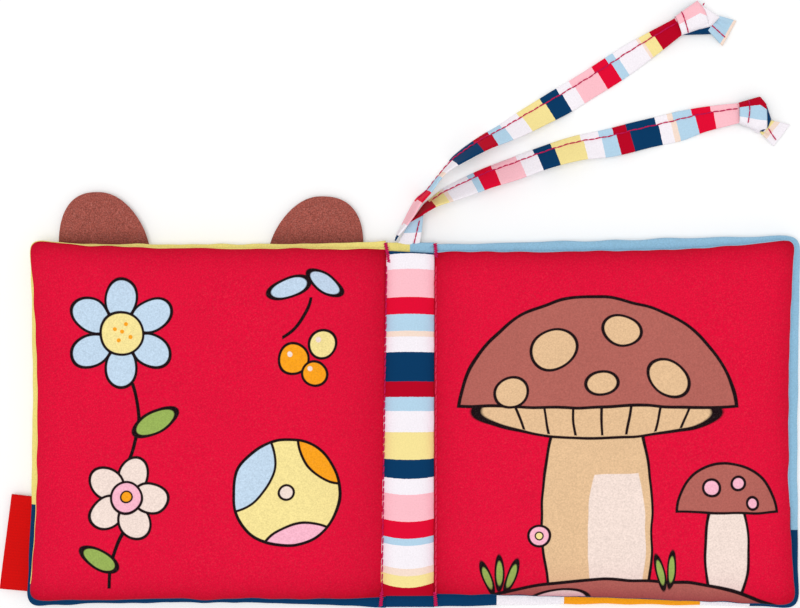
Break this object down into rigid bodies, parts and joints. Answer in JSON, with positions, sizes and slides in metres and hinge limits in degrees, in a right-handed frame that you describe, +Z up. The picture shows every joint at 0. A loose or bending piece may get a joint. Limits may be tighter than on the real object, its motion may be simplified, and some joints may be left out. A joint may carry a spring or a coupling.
{
  "type": "crinkle cloth book",
  "caption": "Padded cloth crinkle book lying open, with turning leaves, cloth ears, a side label, a striped spine and two knotted ribbon ties.",
  "frame": {"origin": "on the table under the middle of the open book's bounding box, ties left out", "axes": "+X to the right page, +Y to the head of the book, +Z up from the table"},
  "size_m": [0.3356, 0.2566, 0.0119],
  "materials": {
    "red_cotton": "printed plain-weave cotton",
    "yellow_cotton": "plain-weave cotton",
    "blue_cotton": "plain-weave cotton",
    "navy_cotton": "plain-weave cotton",
    "brown_cotton": "grainy plain-weave cotton",
    "striped_cotton": "cross-striped cotton",
    "striped_ribbon": "cross-striped cotton ribbon",
    "label_tape": "plain satin tape",
    "thread": "twisted sewing thread",
    "wadding": "soft fibre wadding",
    "crinkle_film": "thin plastic film"
  },
  "bodies": {
    "spine": {"spine_stripe_strip": "striped_cotton", "spine_strip_backing": "navy_cotton", "spine_wadding": "wadding", "cover_spine_outer": "blue_cotton", "cover_spine_lining": "yellow_cotton", "cover_spine_wadding": "wadding", "left_seam_thread": "thread", "right_seam_thread": "thread", "left_head_bar_tack": "thread", "left_tail_bar_tack": "thread", "right_head_bar_tack": "thread", "right_tail_bar_tack": "thread", "tie_root_tab": "striped_ribbon"},
    "page_left": {"page_left_front_panel": "red_cotton", "page_left_back_panel": "yellow_cotton", "page_left_wadding": "wadding", "page_left_crinkle_film": "crinkle_film"},
    "page_right": {"page_right_front_panel": "red_cotton", "page_right_back_panel": "blue_cotton", "page_right_wadding": "wadding", "page_right_crinkle_film": "crinkle_film"},
    "cover_left": {"cover_left_lining_panel": "yellow_cotton", "cover_left_outer_panel": "yellow_cotton", "cover_left_wadding": "wadding", "cover_left_crinkle_film": "crinkle_film"},
    "cover_right": {"cover_right_lining_panel": "blue_cotton", "cover_right_outer_panel": "blue_cotton", "cover_right_wadding": "wadding", "cover_right_crinkle_film": "crinkle_film"},
    "ear_left": {"ear_left_front": "brown_cotton", "ear_left_back": "brown_cotton"},
    "ear_right": {"ear_right_front": "brown_cotton", "ear_right_back": "brown_cotton"},
    "label": {"side_label": "label_tape"},
    "tie_upper": {"upper_tie": "striped_ribbon", "upper_tie_knot": "striped_ribbon", "upper_tie_tail": "striped_ribbon"},
    "tie_lower": {"lower_tie": "striped_ribbon", "lower_tie_knot": "striped_ribbon", "lower_tie_tail": "striped_ribbon"}
  },
  "joints": [
    {"name": "left_page_turn", "type": "hinge", "parent": "spine", "child": "page_left", "pos_m": [-0.00635, -0.00912, 0.0066], "axis": [0, 1, 0], "range_deg": [0, 160]},
    {"name": "left_cover_fold", "type": "hinge", "parent": "page_left", "child": "cover_left", "pos_m": [-0.00635, -0.00912, 0.0041], "axis": [0, 1, 0], "range_deg": [-150, 0]},
    {"name": "right_page_turn", "type": "hinge", "parent": "spine", "child": "page_right", "pos_m": [0.01365, -0.00912, 0.0066], "axis": [0, 1, 0], "range_deg": [-160, 0]},
    {"name": "right_cover_fold", "type": "hinge", "parent": "page_right", "child": "cover_right", "pos_m": [0.01365, -0.00912, 0.0041], "axis": [0, 1, 0], "range_deg": [0, 150]},
    {"name": "left_ear_flop", "type": "hinge", "parent": "cover_left", "child": "ear_left", "pos_m": [-0.12535, 0.06778, 0.0026], "axis": [-1, 0, 0], "range_deg": [-75, 75], "stiffness_Nm_per_rad": 0.002},
    {"name": "right_ear_flop", "type": "hinge", "parent": "cover_left", "child": "ear_right", "pos_m": [-0.03465, 0.06778, 0.0026], "axis": [-1, 0, 0], "range_deg": [-75, 75], "stiffness_Nm_per_rad": 0.002},
    {"name": "label_flop", "type": "hinge", "parent": "cover_left", "child": "label", "pos_m": [-0.15738, -0.07811, 0.0026], "axis": [0.0338, 0.9994, 0], "range_deg": [-60, 60], "stiffness_Nm_per_rad": 0.001},
    {"name": "upper_tie_swing", "type": "hinge", "parent": "spine", "child": "tie_upper", "pos_m": [-0.00255, 0.06757, 0.0062], "axis": [0, 0, 1], "range_deg": [0, 50]},
    {"name": "lower_tie_swing", "type": "hinge", "parent": "spine", "child": "tie_lower", "pos_m": [0.00605, 0.07748, 0.0058], "axis": [0, 0, 1], "range_deg": [-10, 3]}
  ]
}
